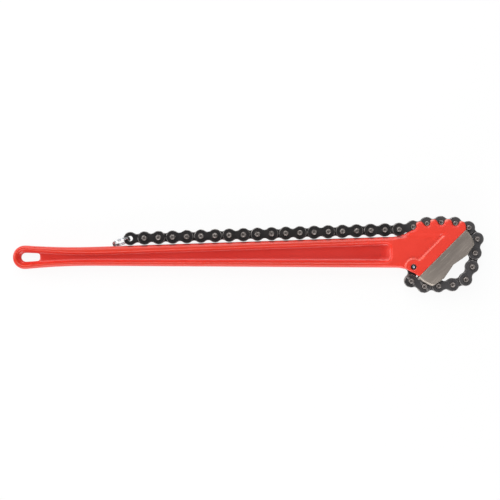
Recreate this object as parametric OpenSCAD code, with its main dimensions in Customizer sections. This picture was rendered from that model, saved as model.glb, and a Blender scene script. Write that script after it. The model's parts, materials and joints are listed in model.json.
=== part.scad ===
// Chain pipe wrench lying flat: forged handle, double-ended jaw and a hooked flat-link chain

/* [Chain] */
// distance between two neighbouring pins
chain_pitch = 19.05; // [18.4:0.05:19.7]
// height of a link plate at its ends
plate_height = 18; // [17:0.1:18.3]
// height of a link plate at its waist
plate_waist = 11.4; // [10:0.2:13]
// thickness of every link plate
plate_thick = 3; // [2.6:0.1:3.2]
// gap between an outer and an inner plate
plate_gap = 0.18; // [0.15:0.01:0.3]
// gap between the two inner plates
core_gap = 0.12; // [0.1:0.01:0.3]
// pin diameter
pin_dia = 6.6; // [6:0.1:7]
// pin length over both ends
pin_length = 24.6; // [22:0.2:25]
// radial play of a pin in an inner plate
pin_play = 0.08; // [0.06:0.01:0.12]
// radial play of a pin in an outer plate
rivet_play = 0.02; // [0.02:0.01:0.04]
// chamfer on each pin end
pin_chamfer = 0.7; // [0.4:0.1:1]
// width of the dimple in each pin end
dimple_dia = 2.6; // [1.6:0.2:3.2]
// depth of the dimple in each pin end
dimple_depth = 1; // [0.6:0.1:1.4]

/* [Handle] */
// anchor pin to butt end
handle_length = 539.4; // [480:1:580]
// width over the butt
butt_width = 32.4; // [30:0.2:36]
// height of the butt centre above the anchor pin
butt_rise = 12.9; // [8:0.1:18]
// thickness at the butt
butt_thick = 19; // [17:0.5:22]
// length of the swell towards the butt
swell_run = 95; // [85:1:105]
// width at the narrow grip
grip_width = 25.2; // [24:0.2:28]
// anchor pin to the narrow grip
grip_at = 448; // [430:1:460]
// width where the head begins
root_width = 41.5; // [38:0.5:44]
// anchor pin to where the head begins
root_at = 44; // [40:1:50]
// height of the root centre above the anchor pin
root_rise = 19.55; // [18:0.1:21]
// rounding of the forged edges
edge_round = 4.2; // [3:0.2:5]
// draft of the forged sides
edge_draft = 0.5; // [0.2:0.1:0.8]
// web thickness in the recess
web_thick = 8.5; // [7:0.5:10]
// rim above the recess
rim_top = 8.3; // [7.6:0.1:9.2]
// rim below the recess at the grip
rim_bottom = 5.2; // [4.6:0.1:6]
// growth of the lower rim for each millimetre that the handle widens
rim_growth = 0.12; // [0.06:0.01:0.16]
// rim round the butt
rim_butt = 4.8; // [4.4:0.1:5.4]
// run of the sloping recess wall round the butt
wall_run = 4.2; // [3.2:0.2:5]
// run of the steep upper wall along the shank
upper_run = 2.3; // [1.8:0.1:2.8]
// run of the lower wall along the shank
lower_run = 3.2; // [2.6:0.1:4]
// run of the ramp at the head end of the recess
ramp_run = 13; // [10:0.5:15]
// anchor pin to the head end of the recess
recess_end = 29; // [27:0.5:36]
// corner radius at the head end of the recess
recess_corner = 7; // [5:0.5:8]
// length of the hang hole
hang_length = 25.3; // [22:0.5:28]
// height of the hang hole at its round end
hang_height = 12; // [11:0.2:12.6]
// height of the hang hole at its square end
hang_small = 10.2; // [9:0.2:11]

/* [Head] */
// width over the raised cheeks
cheek_width = 27; // [26:0.2:30]
// thickness of the head panel
panel_thick = 23; // [21:0.5:24]
// side play of the chain in its slot
slot_play = 0.6; // [0.5:0.05:0.8]
// depth of the slot floor below the plates
floor_play = 1.2; // [0.8:0.1:2]
// play of a pin in its hook notch
notch_play = 1.1; // [1:0.05:1.4]
// gap under a pin in its hook notch
notch_seat = 0.3; // [0.25:0.05:0.6]
// slope of the open side of a notch
notch_slope = 33; // [28:1:38]
// lean of the hook side of a notch
hook_lean = 4; // [2:0.5:8]
// hook tip ahead of its pin
tip_ahead = 7.4; // [6.8:0.1:8]
// hook tip above its pin
tip_above = 5.2; // [4.8:0.1:5.8]
// radius of the anchor boss
boss_radius = 10.2; // [9.6:0.2:11]
// width of the raised strip along the jaw
strip_width = 14.4; // [13:0.2:16]
// gap between the tail plates and the handle
tail_gap = 0.35; // [0.3:0.05:0.6]
// mouth chamfer of the anchor hole
mouth_chamfer = 0.7; // [0.4:0.1:1]
// depth of the anchor pin ends below the cheeks
anchor_sink = 0.7; // [0.4:0.1:1]

/* [Jaw] */
// jaw middle ahead of the anchor pin
jaw_ahead = 38.3; // [37.5:0.1:39.1]
// jaw middle above the anchor pin
jaw_above = 18; // [17.2:0.1:18.8]
// angle of the jaw seat
seat_angle = 45.2; // [44.4:0.1:46]
// gap between the jaw ends and the chain pins
jaw_end_gap = 0.7; // [0.5:0.05:1]
// gap between the jaw face and the chain pins
jaw_face_gap = 0.5; // [0.4:0.05:0.8]
// depth of the hollow in the jaw face
hollow_depth = 4.2; // [3:0.2:5]
// rise of the jaw lobes above the face under the chain pins
lobe_rise = 1.9; // [1.5:0.1:2.1]
// drop of the toothed corners below that face
corner_drop = 1.2; // [1:0.1:1.6]
// distance between the jaw lobes
lobe_span = 46; // [44:0.5:48]
// tooth pitch on the jaw
tooth_pitch = 2.6; // [2.3:0.1:3]
// tooth depth on the jaw
tooth_depth = 1; // [0.7:0.1:1.3]
// bevel of the toothed ends
jaw_bevel = 3; // [2:0.2:3.6]
// distance between the jaw screws
screw_span = 26; // [22:0.5:30]
// jaw screw diameter
screw_dia = 8; // [7:0.5:8.5]
// screw head diameter
screw_head_dia = 13; // [12:0.5:13.5]
// screw head height
screw_head_height = 8; // [7:0.5:8.5]
// thread engagement in the head
screw_grip = 14; // [11:0.5:16]
// radial play round a screw
screw_play = 0.2; // [0.15:0.05:0.4]

/* [End ring] */
// mean radius of the split ring
ring_radius = 11.7; // [10.6:0.1:12.2]
// wire diameter of the split ring
ring_wire = 1.9; // [1.6:0.1:2.1]
// heading of the ring from the last eye
ring_heading = 199; // [196:1:201]
// lean of the ring out of upright
ring_lean = 13; // [4:1:15]
// shift of the wire inside the eye
ring_shift = 1; // [0.8:0.05:1.1]

/* [Hidden] */
$fn = 64;
link_count = 33;
loop_links = 13;
beyond = 60;
pin_r = pin_dia / 2;
plate_r = plate_height / 2;
inner_out = core_gap / 2 + plate_thick;
outer_in = inner_out + plate_gap;
outer_out = outer_in + plate_thick;
slot_width = 2 * (outer_out + slot_play);
half_cheek = cheek_width / 2;
half_panel = panel_thick / 2;
butt_r = butt_width / 2;
butt_x = butt_r - handle_length;

// handle edges as functions of the distance along the handle
width_slope = (root_width - grip_width) / (grip_at - root_at);
rise_slope = (root_rise - butt_rise) / (-root_at - butt_x);
top_flare = 0.0084;
top_flare_at = 32;
under_flare = 0.0146;
under_flare_at = 22;
function line_half(x) = (grip_width + (x + grip_at) * width_slope) / 2;
function swell(x) = pow(max(0, 1 - (x - butt_x) / swell_run), 2) * (butt_r - line_half(butt_x));
function centre_y(x) = butt_rise + (x - butt_x) * rise_slope;
function top_y(x) = centre_y(x) + line_half(x) + swell(x)
    + top_flare * pow(max(0, x + top_flare_at), 2);
function bottom_y(x) = centre_y(x) - line_half(x) - swell(x)
    - under_flare * pow(max(0, x + under_flare_at), 2);
function half_thick(x) =
    (butt_thick + (panel_thick - butt_thick) * min(1, (x - butt_x) / (-root_at - butt_x))) / 2;

// chain route: the loop round the jaw, the hooked links, then the tail along the handle
tail_angle = atan(rise_slope + width_slope / 2);
loop_heading = [-98.5, -22.5, 2, 4.5, 22, 63, 78, 81.5, 127.5, 162.5, 176.5, 184, 194];
function unit(a) = [cos(a), sin(a)];
hook_pins = [for (k = 0, p = [0, 0]; k <= loop_links;
    p = k < loop_links ? p + chain_pitch * unit(loop_heading[k]) : p, k = k + 1) p];
tail_foot = [-root_at, top_y(-root_at)] + (plate_r + tail_gap) * unit(tail_angle + 90);
tail_drop = (hook_pins[loop_links] - tail_foot) * unit(tail_angle + 90);
joining_heading = 180 + tail_angle + asin(tail_drop / chain_pitch);
headings = concat(loop_heading, [joining_heading], [for (k = [loop_links + 2:link_count]) 180 + tail_angle]);
pins = [for (k = 0, p = [0, 0]; k <= link_count;
    p = k < link_count ? p + chain_pitch * unit(headings[k]) : p, k = k + 1) p];

// plate waist: the hollow arc touches both round ends
waist_half = plate_waist / 2;
waist_r = (pow(chain_pitch / 2, 2) + pow(waist_half, 2) - pow(plate_r, 2)) / (2 * (plate_r - waist_half));
waist_y = waist_half + waist_r;
touch_x = chain_pitch / 2 * plate_r / (plate_r + waist_r);
touch_y = waist_y * plate_r / (plate_r + waist_r);

// jaw frame: along the seat, and away from the head as negative height
jaw_mid = [jaw_ahead, jaw_above];
function seat_along(p) = (p - jaw_mid) * unit(seat_angle);
function seat_out(p) = (p - jaw_mid) * unit(seat_angle - 90);
function jaw_point(t, n) = jaw_mid + t * unit(seat_angle) + n * unit(seat_angle - 90);
end_mid = [4, -1.3];
function from_end(p) = norm([abs(seat_along(p)) - end_mid[0], -seat_out(p) - end_mid[1]]);
jaw_end_r = min(from_end(pins[2]), from_end(pins[9])) - pin_r - jaw_end_gap;
groove_gap = 0.6;
groove_r = min(from_end(pins[2]), from_end(pins[3]), from_end(pins[9])) - plate_r - groove_gap;
pin_face = seat_out(pins[3]) - pin_r - jaw_face_gap;
jaw_height = pin_face + lobe_rise;
corner_low = pin_face - corner_drop;
corner_angle = asin((corner_low + end_mid[1]) / jaw_end_r);
seat_fit = 0.02;
first_tooth = 2.4;
first_angle = asin((end_mid[1] + first_tooth) / jaw_end_r);
end_teeth = floor(jaw_end_r * (corner_angle - first_angle) * PI / 180 / tooth_pitch);
corner_t = end_mid[0] + jaw_end_r * cos(corner_angle);
lobe_t = lobe_span / 2;
lobe_teeth = floor((corner_t - lobe_t) / tooth_pitch);
hollow_n = jaw_height - hollow_depth;
function face_n(t) = hollow_n + hollow_depth * min(1, abs(t) / lobe_t);

// hooks: the tip stands ahead of and above its pin
function hook_along(i) = unit(headings[i - 1] + 180);
function hook_up(i) = unit(headings[i - 1] - 90);
function hook_tip(i, a, b) = pins[i] + a * hook_along(i) + b * hook_up(i);

// overall box, so that the part stands centred on its frame
low_y = min([for (p = pins) p[1]]) - plate_r;
high_y = max([for (p = pins) p[1]]) + plate_r;
high_x = max([for (p = pins) p[0]]) + plate_r;
frame_shift = [(handle_length - high_x) / 2, -(low_y + high_y) / 2, half_cheek];

function two_digits(k) = k < 10 ? str("0", k) : str(k);
inner_links = [for (k = [1:2:link_count]) k];
outer_links = [for (k = [2:2:link_count]) k];

// closed skin through rings of equally many points, stacked from below upwards
module skin(rings) {
    n = len(rings[0]);
    m = len(rings);
    half = floor(n / 2);
    points = [for (r = rings) each r];
    sides = [for (j = [0:m - 2]) for (i = [0:n - 1])
        [j * n + (i + 1) % n, (j + 1) * n + (i + 1) % n, (j + 1) * n + i, j * n + i]];
    bottom = [for (i = [0:half - 2]) [n - 1 - i, n - 2 - i, i + 1, i]];
    top = [for (i = [0:half - 2])
        [(m - 1) * n + i, (m - 1) * n + i + 1, (m - 1) * n + n - 2 - i, (m - 1) * n + n - 1 - i]];
    polyhedron(points = points, faces = concat(bottom, top, sides), convexity = 6);
}

// one level of the shank: under edge towards the butt, round the butt, upper edge back to the head
shank_x = [-3, -8, -13, -18, -23, -28, -34, -200, butt_x + swell_run, butt_x + 76, butt_x + 58, butt_x + 42,
    butt_x + 28, butt_x + 14, butt_x];
butt_steps = 13;
function edge_ring(a, side) =
    shank_ring(edge_draft + edge_round * (1 - cos(a)), edge_round * (1 - sin(a)), side);
function shank_ring(inset, below, side) = concat(
    [for (x = shank_x) [x, bottom_y(x) + inset, side * (half_thick(x) - below)]],
    [for (i = [1:butt_steps - 1]) let (a = 270 - i * 180 / butt_steps, r = butt_r - inset)
        let (x = butt_x + r * cos(a)) [x, butt_rise + r * sin(a), side * (half_thick(x) - below)]],
    [for (i = [len(shank_x) - 1:-1:0]) let (x = shank_x[i]) [x, top_y(x) - inset,
        side * (half_thick(x) - below)]]
);

module shank() {
    turns = [0, 30, 60, 90];
    lower = [for (i = [len(turns) - 1:-1:0]) edge_ring(turns[i], -1)];
    upper = [for (a = turns) edge_ring(a, 1)];
    middle = [for (p = shank_ring(0, 0, 1)) [p[0], p[1], 0]];
    skin(concat(lower, [middle], upper));
}

// one level of the recess: under side towards the butt, round the hang hole, upper side back
recess_x = [-64, -200, butt_x + swell_run, butt_x + 76, butt_x + 58, butt_x + 42, butt_x + 28, butt_x + 14];
recess_steps = 11;
function rim_share(x) = min(1, max(0, (x - butt_x) / swell_run));
function along_shank(at_butt, at_shank, x) = at_butt + (at_shank - at_butt) * rim_share(x);
function low_rim(x) = rim_bottom + rim_growth * (2 * line_half(x) - grip_width);
function recess_low(x, inset) =
    bottom_y(x) + along_shank(rim_butt, low_rim(x), x) + inset * along_shank(1, lower_run / wall_run, x);
function recess_high(x, inset) =
    top_y(x) - along_shank(rim_butt, rim_top, x) - inset * along_shank(1, upper_run / wall_run, x);
function recess_ring(inset, z) =
    let (r = recess_corner, x1 = -recess_end - inset * ramp_run / wall_run, low = recess_low(x1 - r, inset))
    let (high = recess_high(x1 - r, inset), round_r = butt_r - rim_butt - inset)
    concat(
        [for (i = [0:6]) let (a = -i * 15) [x1 - r + r * cos(a), low + r + r * sin(a), z]],
        [for (x = recess_x) [x, recess_low(x, inset), z]],
        [for (i = [0:recess_steps]) let (a = 270 - i * 180 / recess_steps)
            [butt_x + round_r * cos(a), butt_rise + round_r * sin(a), z]],
        [for (i = [len(recess_x) - 1:-1:0]) let (x = recess_x[i]) [x, recess_high(x, inset), z]],
        [for (i = [0:6]) let (a = 90 - i * 15) [x1 - r + r * cos(a), high - r + r * sin(a), z]]
    );

// recess wall from its floor up, as shares of the run and of the depth
wall_profile = [[1, 0], [0.62, 0.23], [0.28, 0.63], [0.08, 0.9]];

module recess() {
    floor_z = web_thick / 2;
    depth = butt_thick / 2 - floor_z;
    mouth_ease = 0.3;
    skin(concat(
        [for (w = wall_profile) recess_ring(wall_run * w[0], floor_z + depth * w[1])],
        [recess_ring(-mouth_ease, half_panel + 2)]
    ));
}

module hang_hole() {
    mid_x = butt_x + 1.5;
    end_x = mid_x - hang_height / 2 + hang_length;
    big = hang_height / 2;
    small = hang_small / 2;
    corner = 2;
    cut = 0.6;
    translate([0, 0, -half_panel]) linear_extrude(panel_thick) {
        translate([mid_x, centre_y(mid_x)]) circle(big);
        polygon([
            [mid_x, centre_y(mid_x) - big], [end_x - corner, centre_y(end_x) - small],
            [end_x - cut, centre_y(end_x) - small + cut], [end_x, centre_y(end_x) - small + corner],
            [end_x, centre_y(end_x) + small - corner], [end_x - cut, centre_y(end_x) + small - cut],
            [end_x - corner, centre_y(end_x) + small], [mid_x, centre_y(mid_x) + big]
        ]);
    }
}

// head outline ahead of the shank, before the notches are cut: chin, seat, nose and hook tips
module head_outline() {
    chin = [[-4, bottom_y(-4)], [0.6, -8], [6.2, -11.9], [7.2, -12.4]];
    seat_low = 42.7;
    seat_short = 0.3;
    nose = [[7.2, -5], [6.4, -3.2], [4.8, -1.1], [2, 0.2], [-1.6, 0.3]];
    polygon(concat(
        [[-8, bottom_y(-8)]],
        chin,
        [jaw_point(-seat_low, 0), jaw_point(end_mid[0] + jaw_end_r - seat_short, 0)],
        [for (p = nose) hook_tip(10, tip_ahead + p[0], tip_above + p[1])],
        [for (i = [11:13]) each [hook_tip(i, tip_ahead + 2, tip_above - 0.2), hook_tip(i, tip_ahead - 1, tip_above),
            hook_tip(i, tip_ahead - 3.4, tip_above - 1)]],
        [hook_tip(13, 0, -pin_r), [-8, top_y(-8)]]
    ));
}

// raised cheeks: boss round the anchor pin, strip along the jaw, band under the hooks
module cheek_outline() {
    band_under = [pins[13] + [-12, -8.6], pins[12] + [0, -14.2], pins[11] + [5.6, -16.4], pins[11] + [8, -20]];
    intersection() {
        head_outline();
        union() {
            circle(boss_radius);
            polygon([
                jaw_point(-beyond, beyond), jaw_point(beyond, beyond),
                jaw_point(beyond, -strip_width), jaw_point(-beyond, -strip_width)
            ]);
            polygon(concat(
                band_under,
                [pins[10] + [beyond, -20], pins[10] + [beyond, 20], [band_under[0][0], pins[10][1] + 20]]
            ));
        }
    }
}

// notch for one hooked pin: round seat, steep hook side ahead, sloping open side behind
module notch(i) {
    r = pin_r + notch_play;
    mid = pins[i] + (notch_play - notch_seat) * hook_up(i);
    along = hook_along(i);
    up = hook_up(i);
    slope_side = -cos(notch_slope) * along - sin(notch_slope) * up;
    slope_up = -sin(notch_slope) * along + cos(notch_slope) * up;
    hook_side = cos(hook_lean) * along - sin(hook_lean) * up;
    hook_rise = sin(hook_lean) * along + cos(hook_lean) * up;
    mouth = tip_ahead + tip_above;
    translate([0, 0, -half_cheek - 1]) linear_extrude(cheek_width + 2) {
        translate(mid) circle(r);
        polygon([
            mid, mid + r * hook_side, mid + r * hook_side + mouth * hook_rise,
            mid + r * slope_side + mouth * slope_up, mid + r * slope_side
        ]);
    }
}

// slot between the cheeks for the hooked run of the chain, open upwards and over the jaw end
module chain_slot() {
    deep = plate_r + floor_play;
    over = pins[11][1] + beyond;
    back = -root_at - 6;
    lip = 0.2;
    seat_end = seat_along(pins[9]) - deep;
    translate([0, 0, -slot_width / 2]) linear_extrude(slot_width) polygon(concat(
        [[back, top_y(back) + lip]],
        [for (i = [14:-1:10]) pins[i] - deep * unit((headings[i - 1] + headings[i]) / 2 - 90)],
        [jaw_point(seat_end, 0), jaw_point(seat_end, plate_r), jaw_point(beyond, plate_r)],
        [[pins[9][0] + beyond, over], [back, over]]
    ));
}

// pocket for the first link, open under the head
module anchor_pocket() {
    r = plate_r + floor_play;
    flare = 12;
    translate([0, 0, -slot_width / 2]) linear_extrude(slot_width) {
        circle(r);
        polygon([[-r, 0], [-r - flare, -beyond], [r + flare, -beyond], [r, 0]]);
    }
}

module anchor_hole() {
    cylinder(r = pin_r, h = cheek_width + 2, center = true);
    for (s = [0, 1]) mirror([0, 0, s]) translate([0, 0, half_cheek - mouth_chamfer])
        cylinder(r1 = pin_r, r2 = pin_r + 2 * mouth_chamfer, h = 2 * mouth_chamfer);
}

// places what follows at a jaw screw, with its axis out of the seat
module at_screws() {
    for (s = [-1, 1])
        translate(concat(jaw_point(s * screw_span / 2, 0), [0])) rotate([0, 90, seat_angle - 90]) children();
}

head_sink = 0.6;
screw_under = face_n(screw_span / 2 - screw_head_dia / 2) - screw_head_height - head_sink;

bore_run = 2;
bore_play = 0.05;

module handle() color("#d83a30") difference() {
    union() {
        difference() {
            shank();
            recess();
            mirror([0, 0, 1]) recess();
            hang_hole();
        }
        difference() {
            union() {
                translate([0, 0, -half_panel]) linear_extrude(panel_thick) head_outline();
                translate([0, 0, -half_cheek]) linear_extrude(cheek_width) cheek_outline();
            }
            for (i = [10:13]) notch(i);
        }
    }
    chain_slot();
    anchor_pocket();
    anchor_hole();
    at_screws() translate([0, 0, -screw_grip - bore_run]) cylinder(r = screw_dia / 2 + bore_play, h = beyond);
}

// toothed side view of the jaw
function end_tooth(i, low) = let (a = first_angle + (i + (low ? 0.5 : 0)) * (corner_angle - first_angle) / end_teeth)
    (jaw_end_r - (low ? tooth_depth : 0)) * [cos(a), -sin(a)] + end_mid;
function lobe_tooth(i, low) = let (f = (i + (low ? 0.5 : 0)) / lobe_teeth)
    [corner_t + (lobe_t - corner_t) * f, -corner_low + (corner_low - jaw_height) * f + (low ? tooth_depth : 0)];
half_jaw = concat(
    [[end_mid[0] + sqrt(pow(jaw_end_r, 2) - pow(end_mid[1], 2)), -seat_fit]],
    [for (i = [0:end_teeth - 1]) each [end_tooth(i, false), end_tooth(i, true)]],
    [[corner_t, -corner_low]],
    [for (i = [0:lobe_teeth - 1]) each [lobe_tooth(i, true), lobe_tooth(i + 1, false)]]
);

module jaw_end_bevel() {
    seat_strip = 0.6;
    start_r = jaw_end_r + 0.2;
    for (s = [0, 1]) mirror([0, 0, s]) intersection() {
        translate([end_mid[0], end_mid[1], half_cheek - jaw_bevel]) difference() {
            cylinder(r = jaw_end_r + jaw_bevel, h = jaw_bevel + 1);
            cylinder(r1 = start_r, r2 = start_r - jaw_bevel - 1, h = jaw_bevel + 1);
        }
        translate([lobe_t, -beyond - seat_strip, 0]) cube([beyond, beyond, half_cheek + 2]);
    }
}

module jaw_groove() {
    difference() {
        translate([end_mid[0], 1 - beyond, -slot_width / 2]) cube([beyond, beyond, slot_width]);
        translate([end_mid[0], end_mid[1], -slot_width]) cylinder(r = groove_r, h = 2 * slot_width);
    }
}

hollow_ease = 3;

module jaw() color("#8a837e") difference() {
    translate(jaw_mid) rotate([0, 0, seat_angle]) difference() {
        translate([0, 0, -half_cheek]) linear_extrude(cheek_width) polygon(concat(
            [for (p = half_jaw) [-p[0], p[1]]],
            [for (t = [-hollow_ease, -1, 1, hollow_ease]) [t, -face_n(abs(t) > 1 ? t : 0)]],
            [for (i = [len(half_jaw) - 1:-1:0]) half_jaw[i]]
        ));
        for (s = [0, 1]) mirror([s, 0, 0]) {
            jaw_end_bevel();
            jaw_groove();
        }
    }
    at_screws() {
        translate([0, 0, -1]) cylinder(r = screw_dia / 2 + screw_play, h = beyond);
        translate([0, 0, screw_under]) cylinder(r = screw_head_dia / 2 + screw_play, h = beyond);
    }
}

// socket-head screw on its axis, from the thread end to the chamfered head with its hexagon socket
module jaw_screws() color("#3a3a3d") at_screws() difference() {
    seat = screw_under + 0.02;
    chamfer = 0.8;
    head_r = screw_head_dia / 2;
    rotate_extrude() polygon([
        [0, -screw_grip], [screw_dia / 2 - chamfer, -screw_grip], [screw_dia / 2, -screw_grip + chamfer],
        [screw_dia / 2, seat], [head_r, seat], [head_r, seat + screw_head_height - chamfer],
        [head_r - chamfer, seat + screw_head_height], [0, seat + screw_head_height]
    ]);
    translate([0, 0, seat + screw_head_height / 2])
        cylinder(r = 0.43 * screw_dia, h = screw_head_height, $fn = 6);
}

// pin along the hinge axis with chamfered ends and a dimple in each
module pin(length) {
    h = length / 2;
    rotate_extrude() polygon([
        [0, -h + dimple_depth], [dimple_dia / 2, -h], [pin_r - pin_chamfer, -h], [pin_r, -h + pin_chamfer],
        [pin_r, h - pin_chamfer], [pin_r - pin_chamfer, h], [dimple_dia / 2, h],
        [0, h - dimple_depth]
    ]);
}

module anchor_pin() color("#4a4a4e") pin(cheek_width - 2 * anchor_sink);

// places what follows on link k, with the link along x from its first pin
module at_link(k) {
    translate(concat(pins[k - 1], [0])) rotate([0, 0, headings[k - 1]]) children();
}

module plate(play) {
    linear_extrude(plate_thick) difference() {
        union() {
            circle(plate_r);
            translate([chain_pitch, 0]) circle(plate_r);
            translate([touch_x, -touch_y]) square([chain_pitch - 2 * touch_x, 2 * touch_y]);
        }
        for (s = [-1, 1]) translate([chain_pitch / 2, s * waist_y]) circle(waist_r);
        for (x = [0, chain_pitch]) translate([x, 0]) circle(pin_r + play);
    }
}

module inner_link(k) color("#3b393c") at_link(k)
    for (s = [0, 1]) mirror([0, 0, s]) translate([0, 0, core_gap / 2]) plate(pin_play);

module outer_plates(k) color("#343235") at_link(k)
    for (s = [0, 1]) mirror([0, 0, s]) translate([0, 0, outer_in]) plate(rivet_play);

module link_pins(k) color("#77706e") at_link(k)
    for (x = [0, chain_pitch]) translate([x, 0, 0]) pin(pin_length);

// the two turns of the split ring touch, so each lies a little under half a wire from the middle
coil_share = 0.47;

module end_ring() color("#c9ccd0")
    translate(concat(pins[link_count] + (ring_radius + ring_shift) * unit(ring_heading), [0]))
    rotate([0, 0, ring_heading]) rotate([90 + ring_lean, 0, 0])
    rotate_extrude() for (s = [-1, 1]) translate([ring_radius, s * coil_share * ring_wire]) circle(ring_wire / 2);

translate(frame_shift) {
    handle();
    jaw();
    jaw_screws();
    anchor_pin();
    for (k = inner_links) inner_link(k);
    for (k = outer_links) outer_plates(k);
    for (k = outer_links) link_pins(k);
    end_ring();
}
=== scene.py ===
import json
import math

import bmesh
import bpy
import numpy as np
from mathutils import Matrix, Vector


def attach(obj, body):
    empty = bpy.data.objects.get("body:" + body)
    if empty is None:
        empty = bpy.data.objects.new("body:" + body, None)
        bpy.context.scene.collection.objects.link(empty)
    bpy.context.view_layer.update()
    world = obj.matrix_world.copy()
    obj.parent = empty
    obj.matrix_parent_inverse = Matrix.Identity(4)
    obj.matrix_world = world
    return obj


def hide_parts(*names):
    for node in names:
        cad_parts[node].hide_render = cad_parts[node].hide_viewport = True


# chain pipe wrench lying flat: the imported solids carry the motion, this script gives them their looks
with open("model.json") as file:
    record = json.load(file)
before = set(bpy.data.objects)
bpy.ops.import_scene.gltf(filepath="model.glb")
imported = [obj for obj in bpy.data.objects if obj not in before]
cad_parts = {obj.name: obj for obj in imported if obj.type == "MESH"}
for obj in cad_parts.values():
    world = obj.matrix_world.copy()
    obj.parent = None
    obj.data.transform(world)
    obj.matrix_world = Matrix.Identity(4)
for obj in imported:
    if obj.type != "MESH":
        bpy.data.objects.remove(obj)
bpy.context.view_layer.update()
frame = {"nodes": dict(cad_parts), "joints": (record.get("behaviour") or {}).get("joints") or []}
nodes = frame["nodes"]
scene = bpy.context.scene
mm = 0.001
linkCount = 33
hinges = {joint["name"]: Vector(joint["pos_m"]) for joint in frame["joints"]}
pinPlaces = [hinges["link_%02d_hinge" % k] for k in range(1, linkCount + 1)]
pinPlaces.append(hinges["end_ring_swing"])
anchor = pinPlaces[0]
midPlane = anchor.z
hookPins = (13, 12, 11, 10)         # pins that lie in the hook notches, from the shank to the jaw
print("frame loaded, pins", len(pinPlaces))

# slope of the jaw's seat, and the middle of the jaw from the anchor pin
seat = {"turn": math.radians(45.2), "middle": (38.3 * mm, 18.0 * mm)}

# camera straight above, as in the photograph
photoView = {
    "pixel": 1.3463 * mm,           # what one pixel spans on the wrench
    "side": 500,                    # pixels along a side of the photograph
    "middle": (2.65 * mm, 6.0 * mm),
    "height": 2.6,
    "level": 17 * mm,               # height of the plane that the pixel size belongs to
    "sensor": 36,
    "farClip": 50,
}


def makeCamera():
    data = bpy.data.cameras.new("photoCamera")
    camera = bpy.data.objects.new("photoCamera", data)
    scene.collection.objects.link(camera)
    span = photoView["pixel"] * photoView["side"]
    data.sensor_width = photoView["sensor"]
    data.lens = photoView["sensor"] * (photoView["height"] - photoView["level"]) / span
    data.clip_end = photoView["farClip"]
    camera.location = (*photoView["middle"], photoView["height"])
    scene.camera = camera


# soft boxes beside the wrench, none of them where a flat face would mirror it into the camera
studio = {
    "world": 0.30,
    "boxes": [
        {"name": "chainSideBox", "place": (-0.45, 1.10, 0.75), "size": (1.9, 0.8), "power": 15.5},
        {"name": "highBox", "place": (0.20, 0.80, 2.10), "size": (1.2, 0.4), "power": 4},
        {"name": "headBox", "place": (0.12, 0.60, 0.95), "size": (0.5, 0.35), "power": 2.2},
        {"name": "buttSideBox", "place": (-1.35, 0.30, 0.60), "size": (0.8, 0.8), "power": 8},
        {"name": "underSideBox", "place": (0.05, -1.20, 0.45), "size": (2.4, 0.7), "power": 22},
    ],
    "white": (1, 1, 1, 1),
    "paper": (0.86, 0.86, 0.86, 1),
    "paperHalf": 6,                 # half a side of the floor
    "floorShade": 0.08,             # how much of the floor's tone comes from the light on it
}


def makeLights():
    for box in studio["boxes"]:
        data = bpy.data.lights.new(box["name"], "AREA")
        data.shape = "RECTANGLE"
        data.size, data.size_y = box["size"]
        data.energy = box["power"]
        lamp = bpy.data.objects.new(box["name"], data)
        scene.collection.objects.link(lamp)
        lamp.location = box["place"]
        lamp.rotation_mode = "QUATERNION"
        lamp.rotation_quaternion = (-Vector(box["place"])).to_track_quat("-Z", "Y")


# short words for building node trees
def link(tree, source, target):
    tree.links.new(source, target)


def addNode(tree, kind, **settings):
    node = tree.nodes.new(kind)
    for key, value in settings.items():
        setattr(node, key, value)
    return node


def feed(tree, value, socket):
    # a number or a tuple is set on the socket, the output of another node is linked to it
    if isinstance(value, (int, float, tuple)):
        socket.default_value = value
    else:
        link(tree, value, socket)


def math2(tree, operation, first, second):
    node = addNode(tree, "ShaderNodeMath", operation=operation)
    feed(tree, first, node.inputs[0])
    feed(tree, second, node.inputs[1])
    return node.outputs[0]


def mixShaders(tree, share, first, second):
    node = addNode(tree, "ShaderNodeMixShader")
    feed(tree, share, node.inputs["Fac"])
    link(tree, first, node.inputs[1])
    link(tree, second, node.inputs[2])
    return node.outputs[0]


def seenDirectly(tree):
    # 1 where the camera or a mirror image looks at the surface, 0 for light that bounces on
    path = addNode(tree, "ShaderNodeLightPath").outputs
    seen = math2(tree, "MAXIMUM", path["Is Camera Ray"], path["Is Glossy Ray"])
    return math2(tree, "MAXIMUM", seen, path["Is Transmission Ray"])


def makeWorld():
    world = bpy.data.worlds.new("paleStudio")
    scene.world = world
    world.use_nodes = True
    tree = world.node_tree
    soft = tree.nodes["Background"]
    soft.inputs["Color"].default_value = studio["white"]
    soft.inputs["Strength"].default_value = studio["world"]
    white = addNode(tree, "ShaderNodeBackground")
    white.inputs["Color"].default_value = studio["white"]
    seen = addNode(tree, "ShaderNodeLightPath").outputs["Is Camera Ray"]
    shown = mixShaders(tree, seen, soft.outputs[0], white.outputs[0])
    link(tree, shown, tree.nodes["World Output"].inputs["Surface"])


def makeFloor():
    mesh = bpy.data.meshes.new("floor")
    half = studio["paperHalf"]
    corners = [(-half, -half, 0), (half, -half, 0), (half, half, 0), (-half, half, 0)]
    mesh.from_pydata(corners, [], [(0, 1, 2, 3)])
    floor = bpy.data.objects.new("floor", mesh)
    scene.collection.objects.link(floor)
    material = bpy.data.materials.new("floorPaper")
    material.use_nodes = True
    tree = material.node_tree
    tree.nodes.remove(tree.nodes["Principled BSDF"])
    paper = addNode(tree, "ShaderNodeBsdfDiffuse")
    paper.inputs["Color"].default_value = studio["paper"]
    glow = addNode(tree, "ShaderNodeEmission")
    lit = mixShaders(tree, studio["floorShade"], glow.outputs[0], paper.outputs[0])
    shown = mixShaders(tree, seenDirectly(tree), paper.outputs[0], lit)
    link(tree, shown, tree.nodes["Material Output"].inputs["Surface"])
    mesh.materials.append(material)


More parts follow.
